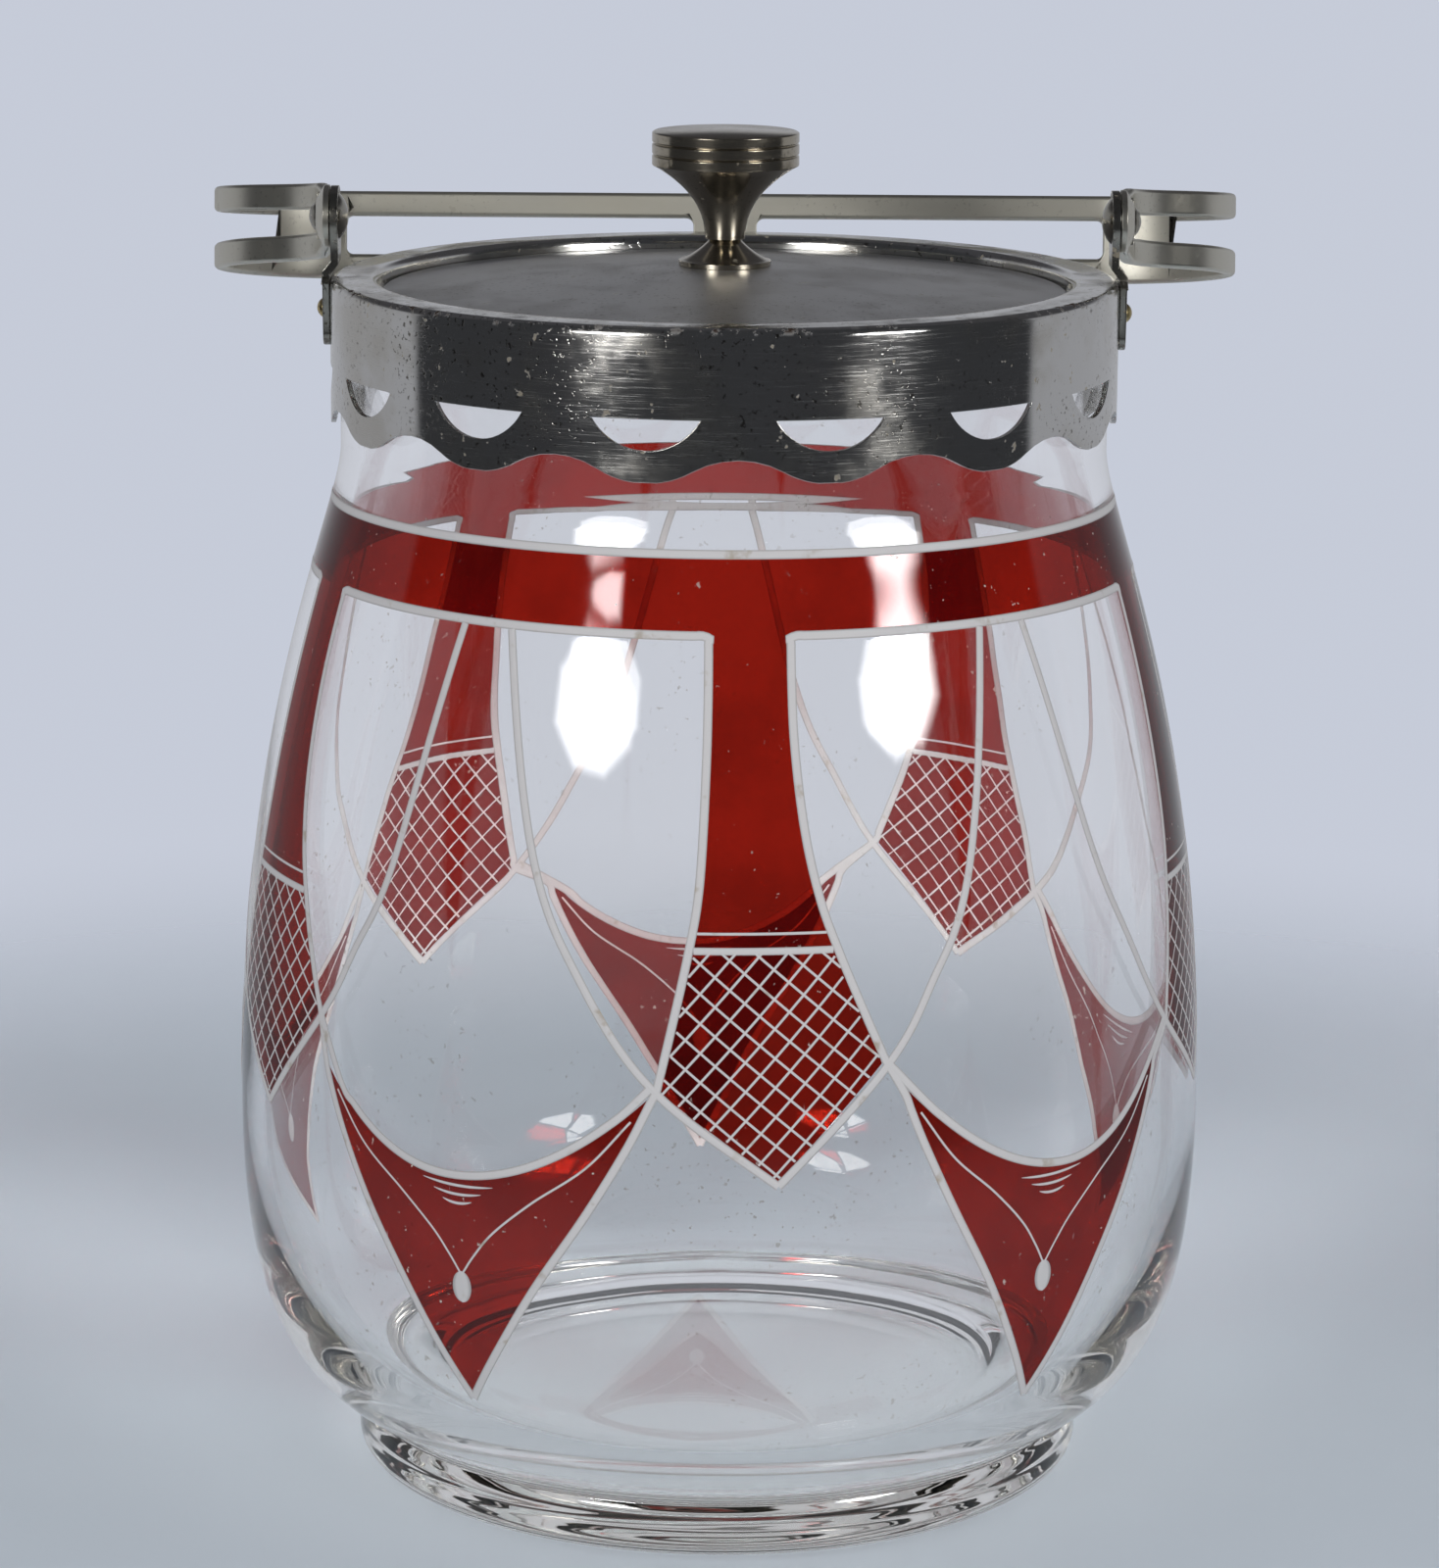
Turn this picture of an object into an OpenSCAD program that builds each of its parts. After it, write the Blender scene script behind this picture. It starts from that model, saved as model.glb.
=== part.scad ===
// Lidded sweet jar: a blown glass barrel with a plated collar, a drop-in lid and a swinging bail.
// It stands on z = 0 with its axis on Z. The bail turns about X and lies folded to the rear, +Y.

/* [Glass jar] */
// Diameter of the belly at its widest
belly_d = 144.8; // [134:0.2:156]
// Height of the widest ring of the belly
belly_z = 55; // [48:0.5:62]
// How far the fullness of the belly carries up to the shoulder
belly_rise = 61; // [45:1:75]
// How far the fullness of the belly carries down to the heel
belly_drop = 19; // [14:0.5:24]
// Outside diameter of the straight neck
neck_d = 113.2; // [106:0.2:120]
// Height where the shoulder runs into the neck
neck_z = 155; // [148:0.5:158]
// Length of the sweep from the shoulder into the neck
neck_sweep = 10; // [6:0.5:18]
// Height of the straight neck up to the rim
neck_h = 23.1; // [22:0.1:30]
// Thickness of the blown wall
glass_wall = 3.5; // [2.6:0.1:4.4]
// Height of the floor inside the jar
floor_z = 12; // [9:0.5:15]
// Radius of the flat part of the floor
floor_r = 40; // [30:1:45]
// Length of the sweep from the floor up into the wall
floor_sweep = 22; // [14:1:26]
// Diameter of the foot ring
foot_d = 110; // [104:0.5:116]
// Height of the foot ring
foot_h = 9.8; // [7:0.2:12]
// Radius of the lower edge of the foot
foot_edge = 3.5; // [1:0.1:5]
// Width of the flat ring that the jar stands on
foot_land = 5.5; // [3:0.5:9]
// Depth of the hollow under the foot
foot_hollow = 3; // [1:0.2:4.5]
// Angle at which the heel rises out of the foot
heel_angle = 20; // [12:1:35]
// Length of the sweep from the heel into the belly
heel_sweep = 16; // [10:0.5:20]

/* [Collar] */
// Thickness of the pressed sheet
collar_sheet = 0.8; // [0.5:0.05:1.1]
// Plaster between the glass and the collar
bed_gap = 0.6; // [0.4:0.05:1]
// Inside radius of the bends in the sheet
bend_r = 0.4; // [0.2:0.05:0.8]
// Height of the collar from its top to the tips of the scallops
collar_h = 21.5; // [20:0.1:24]
// Number of scallops round the lower edge
scallops = 14; // [10:1:17]
// Height of the scalloped edge from a tip to a hollow
scallop_h = 3.3; // [2:0.1:4.2]
// Height that is trimmed flat off the tip of each scallop
scallop_trim = 0.1; // [0.08:0.02:0.4]
// Turn of the hollow at the front towards +X
scallop_turn = 2; // [-10:0.5:10]
// Width of each half-moon window along its straight edge
window_w = 15.4; // [10:0.2:17]
// Height of each half-moon window
window_h = 4.4; // [3:0.1:5]
// Metal between a window and the tip of its scallop
window_margin = 4.4; // [3.4:0.1:5]
// Room between the recess for the lid and the glass
recess_room = 1.4; // [0.6:0.1:2.4]
// Depth of the recess from the collar's top to its ledge
recess_h = 2.7; // [1.8:0.1:3.4]
// Width of the ledge that the lid rests on
ledge_w = 3.9; // [2.5:0.1:6]

/* [Lid] */
// Thickness of the lid
lid_sheet = 0.8; // [0.5:0.05:1.2]
// Gap round the lid in its recess
lid_gap = 0.6; // [0.3:0.05:1]
// Width of the lid's flat rim
lid_rim = 2.8; // [2:0.1:4]
// Rise of the lid's cone from the rim to the middle
lid_rise = 3.6; // [2:0.1:6]
// Radius of the flat seat under the knob
lid_seat_r = 7.4; // [7:0.1:12]

/* [Knob] */
// Diameter of the ringed top
knob_d = 21.6; // [16:0.2:28]
// Height of the knob over the lid
knob_h = 20; // [16:0.2:26]
// Number of rings round the top
knob_rings = 3; // [2:1:5]
// Height of one ring
ring_h = 1.7; // [1.1:0.05:2]
// Depth of the grooves between the rings
ring_groove = 0.35; // [0.1:0.05:0.6]
// Rise of the crown on the knob's top
crown_h = 0.35; // [0.1:0.05:1]
// Diameter of the waist
waist_d = 5.9; // [4.8:0.1:8]
// Height of the waist over the lid
waist_h = 3.9; // [2.4:0.1:5]
// Diameter of the flared base
base_d = 13.6; // [10:0.2:14]
// Height of the bead at the foot of the flared base
base_bead = 0.8; // [0.4:0.1:1.2]
// Length of the sweep from the bead in towards the waist
base_sweep = 1.2; // [1:0.1:4]
// Height of the sweep from the base up into the waist
waist_sweep = 0.5; // [0.3:0.1:1.5]
// Diameter of the base's top, under the knob
base_neck_d = 4.6; // [4:0.1:5.6]
// Height of the slender stem over the waist
stem_h = 5; // [3:0.1:7]
// Width of the flare under the rings
flare_w = 4.5; // [3:0.1:8]
// Depth of the flare under the rings
flare_h = 2.5; // [1:0.1:4]
// Diameter of the screw that holds the knob
screw_d = 2.9; // [2:0.1:3.4]
// Length of the screw inside the knob, above the waist
screw_grip = 5; // [3:0.5:8]
// Diameter of the screw's head
screw_head_d = 5.6; // [4.5:0.1:8]
// Height of the screw's head
screw_head_h = 1.8; // [1:0.1:2.4]
// Diameter of the washer under the lid
washer_d = 10; // [8.5:0.2:14]
// Thickness of the washer
washer_t = 0.7; // [0.5:0.1:1.2]

/* [Ears] */
// Thickness of the ears
ear_t = 1.1; // [0.8:0.1:1.5]
// Width of an ear at the pivot
ear_w = 9; // [8:0.1:11]
// Width of an ear at its neck, over the edge of the collar
ear_neck_w = 6.2; // [4:0.1:7]
// Width of the shield on the collar's wall
ear_shield_w = 8.8; // [7:0.1:11]
// Width of the shield's rounded lower end
ear_tip_w = 4.4; // [3.6:0.1:5.6]
// Height of the pivot over the collar's top
pivot_rise = 8.5; // [7.6:0.1:12]
// Reach of the shield down from the collar's top
ear_drop = 10.5; // [9:0.1:11]
// Drop of the ear's rivet from the collar's top
ear_rivet_drop = 5; // [4:0.1:6]
// Diameter of the ear's rivet
ear_rivet_d = 1.7; // [1.2:0.1:2.2]
// Diameter of the domed head of the ear's rivet
ear_rivet_head_d = 2.9; // [2.6:0.1:4]
// Height of the domed head of the ear's rivet
ear_rivet_head_h = 0.9; // [0.5:0.1:1.4]
// Step of the upper ear inwards from the collar's wall
ear_inset = 0.2; // [0:0.1:0.8]

/* [Pivots] */
// Diameter of the pivot rivets
pivot_d = 3.2; // [2.4:0.1:3.6]
// Diameter of their domed heads
pivot_head_d = 6.8; // [5.6:0.1:8]
// Height of their domed heads
pivot_head_h = 1.4; // [0.8:0.1:2]
// Diameter of their peened tails
pivot_tail_d = 4.2; // [4:0.1:5]
// Height of their peened tails
pivot_tail_h = 0.9; // [0.5:0.1:1.4]
// Play of the bail along a pivot, on each face
pivot_play = 0.2; // [0.1:0.05:0.4]

/* [Bail] */
// Thickness of the bail's band
bail_t = 2; // [1.4:0.1:2.4]
// Overall width of the bail
bail_w = 157.8; // [152:0.2:166]
// Radius of the corners, on the middle of the band
bail_corner_r = 20; // [15:0.5:24]
// Slope of the folded bail below the horizontal
bail_rest = 9.3; // [6:0.1:12]
// Gap between the folded bail and the collar
bail_gap = 0.3; // [0.2:0.05:0.6]
// Diameter of the eyes
eye_d = 9.2; // [8.4:0.1:10]
// Thickness of the eyes at their rim
eye_rim_t = 0.8; // [0.6:0.1:1.2]
// Diameter of the flat inside the bevel of the eyes
eye_face_d = 5.2; // [5:0.1:7]
// Straight run of the band from the pivot to the first curve
eye_run = 7; // [6:0.5:9]
// Width of the band beside an eye
arm_neck_w = 7; // [5:0.1:8]
// Width of the arms where they leave the eyes
arm_w = 11.2; // [10:0.1:13]
// Width of the band at the grip
grip_w = 14; // [13:0.1:17]
// Width of the arms' slot near an eye
arm_slot_w = 3.4; // [2.6:0.1:4.4]
// Gain in width of the arms' slot up to the corner
arm_slot_gain = 1.6; // [0:0.1:2]
// Width of the slot at the grip
grip_slot_w = 6; // [4.6:0.1:8.4]
// Width of the bridge in the middle of the grip
bridge_w = 10; // [6:0.5:16]
// Distance of the corner bridges from the bail's ends
corner_bridge_in = 18.9; // [17.9:0.1:24]
// Width of the corner bridges
corner_bridge_w = 10; // [7:0.5:11]
// Radius in the corners of the grip's slots
slot_corner_r = 1.2; // [0.6:0.1:2]

/* [Hidden] */

$fn = 96;
curve_steps = 16;
arc_steps = 6;
// Gap that keeps seated round faces of one assembly from touching
fit = 0.03;
// Running clearance of a bore on its pin, on the radius
running = 0.05;
// Overlap of cutting shapes past the faces that they cut
cut = 1;
// Reach of the cuts through the collar's curved wall, to each side of its inner face
wall_reach = 3.2;

belly_r = belly_d / 2;
neck_r = neck_d / 2;
foot_r = foot_d / 2;
neck_bore_r = neck_r - glass_wall;
rim_z = neck_z + neck_h;
rim_edge = glass_wall / 5;

collar_bore_r = neck_r + bed_gap;
collar_r = collar_bore_r + collar_sheet;
collar_top = rim_z + bed_gap + collar_sheet;
skirt_z = collar_top - collar_h;
window_z = skirt_z + window_margin;
window_top = window_z + window_h;
recess_r = neck_bore_r - recess_room - collar_sheet;
seat_z = collar_top - recess_h;
bed_low = window_top + 2 * collar_sheet;

lid_r = recess_r - lid_gap;
lid_top = seat_z + lid_sheet + lid_rise;
waist_z = lid_top + waist_h;
knob_top = lid_top + knob_h;
rings_z = knob_top - crown_h - knob_rings * ring_h;
screw_r = screw_d / 2;
washer_z = lid_top - lid_sheet - washer_t;

pivot_z = collar_top + pivot_rise;
ear_face_x = collar_r - ear_inset;
shield_r = collar_r + fit;
ear_rivet_z = collar_top - ear_rivet_drop;
pivot_r = pivot_d / 2;
eye_x = ear_face_x + pivot_play;

bail_u0 = eye_x + bail_t / 2;
bail_u1 = (bail_w - bail_t) / 2;
grip_in_v = (collar_r + bail_gap + grip_w / 2 * sin(bail_rest)) / cos(bail_rest);
grip_v = grip_in_v + bail_t / 2;
corner_v = grip_v - bail_corner_r;
sweep_u = bail_u1 - bail_u0;
sweep_v = corner_v - eye_run;
sweep_r = (sweep_u * sweep_u + sweep_v * sweep_v) / (4 * sweep_u);
sweep_angle = 2 * atan(sweep_u / sweep_v);
corner_bridge_u = bail_w / 2 - corner_bridge_in;
arm_v = 2 * eye_run;
bail_far_v = grip_v + bail_t;

nickel = [0.62, 0.61, 0.58];
dark_nickel = [0.50, 0.49, 0.46];
brass = [0.70, 0.56, 0.28];
clear_glass = [0.80, 0.86, 0.88, 0.35];
plaster = [0.86, 0.83, 0.76];

function bezier(p) = [
  for (i = [0 : curve_steps])
    let (t = i / curve_steps, s = 1 - t)
      s * s * s * p[0] + 3 * s * s * t * p[1] + 3 * s * t * t * p[2] + t * t * t * p[3]
];

function arc(centre, r, from, to, steps = arc_steps) = [
  for (i = [0 : steps])
    let (a = from + (to - from) * i / steps)
      centre + r * [cos(a), sin(a)]
];

// All points but the first, to carry on from a point that is already there
function rest(points) = [for (i = [1 : len(points) - 1]) points[i]];

function backwards(points) = [for (i = [len(points) - 1 : -1 : 0]) points[i]];

function mirrored(points) = [for (p = points) [-p[0], p[1]]];

// Lays a shape turned about Z along +X, starting at x, at the height z
module along_x(x, z) {
  translate([x, 0, z]) rotate([0, 90, 0]) children();
}

// Domed head on the plane z = 0, standing up from it
module dome(d, h) {
  ball_r = (d * d / 4 + h * h) / (2 * h);
  intersection() {
    translate([0, 0, h - ball_r]) sphere(ball_r);
    cylinder(d = d, h = h);
  }
}

// Outer profile of the glass, from the foot up to the rim
function jar_outside() = concat(
  arc([foot_r - foot_edge, foot_edge], foot_edge, -90, 0),
  bezier([
    [foot_r, foot_h],
    [foot_r, foot_h] + heel_sweep * [cos(heel_angle), sin(heel_angle)],
    [belly_r, belly_z - belly_drop],
    [belly_r, belly_z],
  ]),
  rest(bezier([
    [belly_r, belly_z],
    [belly_r, belly_z + belly_rise],
    [neck_r, neck_z - neck_sweep],
    [neck_r, neck_z],
  ])),
  arc([neck_r - rim_edge, rim_z - rim_edge], rim_edge, 0, 90)
);

// Inner profile of the glass, from the rim down to the floor
function jar_inside() = concat(
  arc([neck_bore_r + rim_edge, rim_z - rim_edge], rim_edge, 90, 180),
  bezier([
    [neck_bore_r, neck_z],
    [neck_bore_r, neck_z - neck_sweep],
    [belly_r - glass_wall, belly_z + belly_rise],
    [belly_r - glass_wall, belly_z],
  ]),
  rest(bezier([
    [belly_r - glass_wall, belly_z],
    [belly_r - glass_wall, floor_z + belly_drop],
    [floor_r + floor_sweep, floor_z],
    [floor_r, floor_z],
  ]))
);

function foot_underside() = bezier([
  [0, foot_hollow],
  [floor_r / 2, foot_hollow],
  [floor_r, foot_hollow],
  [foot_r - foot_edge - foot_land, 0],
]);

module glass_jar() {
  color(clear_glass)
    rotate_extrude()
      polygon(concat(jar_outside(), jar_inside(), [[0, floor_z]], foot_underside()));
}

// Plaster that fixes the collar round the neck and over the rim
module plaster_bed() {
  outer = collar_bore_r - fit;
  under = collar_top - collar_sheet;
  color(plaster)
    rotate_extrude()
      polygon([
        [neck_r + fit, bed_low],
        [outer, bed_low],
        [outer, under - bend_r],
        [outer - bend_r, under],
        [neck_bore_r + rim_edge, under],
        [neck_bore_r + rim_edge, rim_z],
        [neck_r + fit, rim_z],
      ]);
}

// Section of the pressed sheet: up the wall, over the top, down into the recess and back
function collar_section() = let (
  turn = bend_r + collar_sheet,
  edge = [collar_r - turn, collar_top - turn],
  lip = [recess_r + turn, collar_top - turn]
) concat(
  [[collar_r, skirt_z]],
  arc(edge, turn, 0, 90),
  arc(lip, turn, 90, 180),
  [
    [recess_r, seat_z],
    [recess_r - ledge_w, seat_z],
    [recess_r - ledge_w, seat_z - collar_sheet],
    [recess_r + collar_sheet, seat_z - collar_sheet],
  ],
  arc(lip, bend_r, 180, 90),
  arc(edge, bend_r, 90, 0),
  [[collar_bore_r, skirt_z]]
);

// Places a flat outline as a cut through the collar's wall, facing out at an angle from the front
module through_wall(angle) {
  rotate([90, 0, angle])
    translate([0, 0, collar_bore_r - wall_reach])
      linear_extrude(2 * wall_reach) children();
}

module half_moon() {
  moon_r = (window_w * window_w / 4 + window_h * window_h) / (2 * window_h);
  intersection() {
    translate([0, window_z + moon_r]) circle(moon_r);
    translate([-window_w, window_z - cut]) square([2 * window_w, window_h + cut]);
  }
}

// Space under the edge between two tips: an arc off each tip and one over the hollow
module scallop_hollow() {
  half = collar_bore_r * sin(180 / scallops);
  tip_z = skirt_z - scallop_trim;
  wave_h = scallop_h + scallop_trim;
  wave_r = (half * half + wave_h * wave_h) / (4 * wave_h);
  turn = asin(half / (2 * wave_r));
  polygon(concat(
    arc([-half, tip_z + wave_r], wave_r, -90, turn - 90),
    rest(arc([0, tip_z + wave_h - wave_r], wave_r, 90 + turn, 90 - turn)),
    rest(arc([half, tip_z + wave_r], wave_r, -90 - turn, -90)),
    [[half, tip_z - cut], [-half, tip_z - cut]]
  ));
}

module collar() {
  pitch = 360 / scallops;
  color(nickel)
    difference() {
      rotate_extrude() polygon(collar_section());
      for (i = [0 : scallops - 1]) {
        through_wall(scallop_turn + i * pitch) scallop_hollow();
        through_wall(scallop_turn + (i + 0.5) * pitch) half_moon();
      }
      for (side = [0, 1])
        mirror([side, 0, 0])
          along_x(collar_bore_r - cut, ear_rivet_z)
            cylinder(r = ear_rivet_d / 2 + fit, h = collar_sheet + 2 * cut);
    }
}

// Front outline of an ear, Y across and Z up
module ear_outline() {
  neck_top = pivot_z - ear_w / 2 - collar_sheet;
  shield_top = collar_top - collar_sheet;
  tip_z = collar_top - ear_drop + ear_tip_w / 2;
  translate([0, pivot_z]) circle(d = ear_w);
  polygon([
    [-ear_w / 2, pivot_z], [-ear_neck_w / 2, neck_top], [-ear_neck_w / 2, collar_top],
    [-ear_shield_w / 2, shield_top], [-ear_tip_w / 2, tip_z],
    [ear_tip_w / 2, tip_z], [ear_shield_w / 2, shield_top],
    [ear_neck_w / 2, collar_top], [ear_neck_w / 2, neck_top], [ear_w / 2, pivot_z],
  ]);
  translate([0, tip_z]) circle(d = ear_tip_w);
}

// Side outline of the upper plate and of the jog over the collar's edge, X across and Z up
module ear_bend() {
  jog_low = collar_top + 2 * fit;
  jog_high = jog_low + 2 * ear_t;
  polygon([
    [ear_face_x - ear_t, pivot_z + ear_w],
    [ear_face_x, pivot_z + ear_w],
    [ear_face_x, jog_high],
    [shield_r + ear_t, jog_low + ear_t / 2],
    [shield_r + ear_t, collar_top - ear_t],
    [shield_r, collar_top - ear_t],
    [shield_r, jog_low],
    [ear_face_x - ear_t, jog_high - ear_t / 2],
  ]);
}

module right_ear_solid() {
  shield_low = collar_top - ear_drop - cut;
  difference() {
    intersection() {
      rotate([90, 0, 90]) linear_extrude(shield_r + ear_t + cut) ear_outline();
      union() {
        rotate([90, 0, 0]) translate([0, 0, -ear_w]) linear_extrude(2 * ear_w) ear_bend();
        translate([0, 0, shield_low])
          difference() {
            cylinder(r = shield_r + ear_t, h = collar_top - shield_low);
            translate([0, 0, -cut]) cylinder(r = shield_r, h = collar_top - shield_low + 2 * cut);
          }
      }
    }
    along_x(ear_face_x - ear_t - cut, pivot_z) cylinder(r = pivot_r + fit, h = ear_t + 2 * cut);
    along_x(collar_r - cut, ear_rivet_z) cylinder(r = ear_rivet_d / 2 + fit, h = ear_t + 3 * cut);
  }
}

module right_ear_rivet_solid() {
  head_x = shield_r + ear_t + fit;
  shank_x = collar_bore_r + fit;
  along_x(shank_x, ear_rivet_z) cylinder(d = ear_rivet_d, h = head_x - shank_x + fit);
  along_x(head_x, ear_rivet_z) dome(ear_rivet_head_d, ear_rivet_head_h);
}

// Shank through the ear and the bail's eye, with its dome inside and its peened tail outside
module right_pivot_rivet_solid() {
  head_x = ear_face_x - ear_t;
  tail_x = eye_x + bail_t + pivot_play;
  along_x(head_x, pivot_z) cylinder(r = pivot_r, h = tail_x - head_x + pivot_tail_h / 2);
  translate([2 * head_x, 0, 0]) mirror([1, 0, 0]) along_x(head_x, pivot_z) dome(pivot_head_d, pivot_head_h);
  along_x(tail_x, pivot_z) dome(pivot_tail_d, pivot_tail_h);
}

module left_ear() { color(dark_nickel) mirror([1, 0, 0]) right_ear_solid(); }
module right_ear() { color(dark_nickel) right_ear_solid(); }
module left_ear_rivet() { color(brass) mirror([1, 0, 0]) right_ear_rivet_solid(); }
module right_ear_rivet() { color(brass) right_ear_rivet_solid(); }
module left_pivot_rivet() { color(nickel) mirror([1, 0, 0]) right_pivot_rivet_solid(); }
module right_pivot_rivet() { color(nickel) right_pivot_rivet_solid(); }

// Plan of one edge of the band, a little out from its middle: eye run, double sweep and corner
function bail_edge(out) = concat(
  [[bail_u0 + out, 0]],
  arc([bail_u0 + sweep_r, eye_run], sweep_r - out, 180, 180 - sweep_angle, curve_steps),
  rest(arc([bail_u1 - sweep_r, corner_v], sweep_r + out, -sweep_angle, 0, curve_steps)),
  rest(arc([bail_u1 - bail_corner_r, corner_v], bail_corner_r + out, 0, 90, curve_steps))
);

module bail_plan() {
  outer = bail_edge(bail_t / 2);
  inner = bail_edge(-bail_t / 2);
  polygon(concat(outer, mirrored(backwards(outer)), mirrored(inner), backwards(inner)));
}

// Extrudes a side outline, distance from the pivot across and height up, over the bail's width
module across_bail() {
  rotate([90, 0, 90]) translate([0, 0, -bail_w]) linear_extrude(2 * bail_w) children();
}

module bail_side() {
  polygon([
    [0, -arm_neck_w / 2], [eye_run, -arm_neck_w / 2], [arm_v, -arm_w / 2], [bail_far_v, -grip_w / 2],
    [bail_far_v, grip_w / 2], [arm_v, arm_w / 2], [eye_run, arm_neck_w / 2], [0, arm_neck_w / 2],
  ]);
}

module arm_slot_side() {
  start = arm_slot_w / 2;
  corner = start + arm_slot_gain / 2;
  end = grip_slot_w / 2;
  translate([arm_v, 0]) circle(start);
  polygon([
    [arm_v, -start], [corner_v, -corner], [bail_far_v, -end],
    [bail_far_v, end], [corner_v, corner], [arm_v, start],
  ]);
}

// Rounded opening of the grip on one side of the middle bridge, distance from the middle across
module grip_slot_front() {
  long = corner_bridge_u - bridge_w / 2;
  middle = bridge_w / 2 + long / 2;
  translate([middle, 0]) {
    square([long - 2 * slot_corner_r, grip_slot_w], center = true);
    square([long, grip_slot_w - 2 * slot_corner_r], center = true);
    for (side = [-1, 1], end = [-1, 1])
      translate([side * (long / 2 - slot_corner_r), end * (grip_slot_w / 2 - slot_corner_r)])
        circle(slot_corner_r);
  }
}

module bail_band() {
  rear_v = corner_v + bail_corner_r / 4;
  bridge_end = corner_bridge_u + corner_bridge_w;
  difference() {
    intersection() {
      linear_extrude(2 * grip_w, center = true) bail_plan();
      across_bail() bail_side();
    }
    difference() {
      across_bail() arm_slot_side();
      translate([-bridge_end, rear_v, -grip_w]) cube([2 * bridge_end, bail_corner_r, 2 * grip_w]);
    }
    for (side = [0, 1])
      mirror([side, 0, 0])
        translate([0, grip_v + bail_corner_r / 2, 0])
          rotate([90, 0, 0]) linear_extrude(bail_corner_r) grip_slot_front();
  }
}

// Eye with a flat inner face and a bevelled rim
module bail_eye() {
  along_x(eye_x, 0) {
    cylinder(d = eye_d, h = eye_rim_t);
    translate([0, 0, eye_rim_t]) cylinder(d1 = eye_d, d2 = eye_face_d, h = bail_t - eye_rim_t);
  }
}

module bail() {
  color(nickel)
    translate([0, 0, pivot_z])
      rotate([-bail_rest, 0, 0])
        difference() {
          union() {
            bail_band();
            for (side = [0, 1]) mirror([side, 0, 0]) bail_eye();
          }
          for (side = [0, 1])
            mirror([side, 0, 0])
              along_x(eye_x - cut, 0) cylinder(r = pivot_r + running, h = bail_t + 2 * cut);
        }
}

module lid() {
  cone_r = lid_r - lid_rim;
  color(dark_nickel)
    difference() {
      rotate_extrude()
        polygon([
          [0, lid_top - lid_sheet], [lid_seat_r, lid_top - lid_sheet], [cone_r, seat_z], [lid_r, seat_z],
          [lid_r, seat_z + lid_sheet], [cone_r, seat_z + lid_sheet], [lid_seat_r, lid_top], [0, lid_top],
        ]);
      translate([0, 0, lid_top - lid_sheet - cut]) cylinder(r = screw_r + fit, h = lid_sheet + 2 * cut);
    }
}

module knob_base() {
  base_r = base_d / 2;
  bead_z = lid_top + base_bead;
  color(nickel)
    difference() {
      rotate_extrude()
        polygon(concat(
          [[0, lid_top], [base_r, lid_top]],
          bezier([
            [base_r, bead_z],
            [base_r - base_sweep, bead_z],
            [base_neck_d / 2, waist_z - waist_sweep],
            [base_neck_d / 2, waist_z],
          ]),
          [[0, waist_z]]
        ));
      translate([0, 0, lid_top - cut]) cylinder(r = screw_r + fit, h = waist_h + 2 * cut);
    }
}

// Turned knob: a trumpet from the waist up to the rings, with a low crown
module knob() {
  knob_r = knob_d / 2;
  bevel = ring_groove / 2;
  rings = [
    for (i = [0 : knob_rings - 1], p = [
      [-ring_groove, 0], [0, bevel], [0, ring_h - bevel], [-ring_groove, ring_h],
    ]) [knob_r + p[0], rings_z + i * ring_h + p[1]]
  ];
  color(nickel)
    difference() {
      rotate_extrude()
        polygon(concat(
          [[0, waist_z]],
          bezier([
            [waist_d / 2, waist_z],
            [waist_d / 2, waist_z + stem_h],
            [knob_r - flare_w, rings_z - flare_h],
            [knob_r - 2 * ring_groove, rings_z - bevel],
          ]),
          rings,
          [[0, knob_top]]
        ));
      translate([0, 0, waist_z - cut]) cylinder(r = screw_r + fit, h = screw_grip + cut + fit);
    }
}

module knob_washer() {
  color(nickel)
    translate([0, 0, washer_z])
      difference() {
        cylinder(d = washer_d, h = washer_t);
        translate([0, 0, -cut]) cylinder(r = screw_r + fit, h = washer_t + 2 * cut);
      }
}

module knob_screw() {
  color(brass) {
    translate([0, 0, washer_z - screw_head_h]) cylinder(d = screw_head_d, h = screw_head_h);
    translate([0, 0, washer_z - screw_head_h / 2])
      cylinder(r = screw_r, h = waist_z + screw_grip - washer_z + screw_head_h / 2);
  }
}

glass_jar();
plaster_bed();
collar();
left_ear();
right_ear();
left_ear_rivet();
right_ear_rivet();
left_pivot_rivet();
right_pivot_rivet();
bail();
lid();
knob_base();
knob();
knob_washer();
knob_screw();
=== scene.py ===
"""Lidded sweet jar: blown glass with ruby stain and engraving, plated collar, lid, knob and bail."""
import math

import bmesh
import bpy
import numpy as np
from mathutils import Euler, Matrix, Vector, noise


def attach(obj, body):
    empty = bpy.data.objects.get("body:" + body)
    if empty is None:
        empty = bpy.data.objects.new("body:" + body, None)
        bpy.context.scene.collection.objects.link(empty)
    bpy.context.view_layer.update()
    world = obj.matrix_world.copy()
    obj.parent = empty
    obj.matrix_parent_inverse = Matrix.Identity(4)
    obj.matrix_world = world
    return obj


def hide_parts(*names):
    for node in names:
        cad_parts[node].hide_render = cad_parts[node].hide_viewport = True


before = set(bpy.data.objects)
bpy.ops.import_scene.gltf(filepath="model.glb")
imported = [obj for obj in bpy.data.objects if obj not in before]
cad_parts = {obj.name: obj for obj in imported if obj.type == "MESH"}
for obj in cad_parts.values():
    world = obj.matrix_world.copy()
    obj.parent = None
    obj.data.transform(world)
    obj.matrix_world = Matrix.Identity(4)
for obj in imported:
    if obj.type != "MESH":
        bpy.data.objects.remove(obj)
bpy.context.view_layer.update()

MM = 0.001

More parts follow.
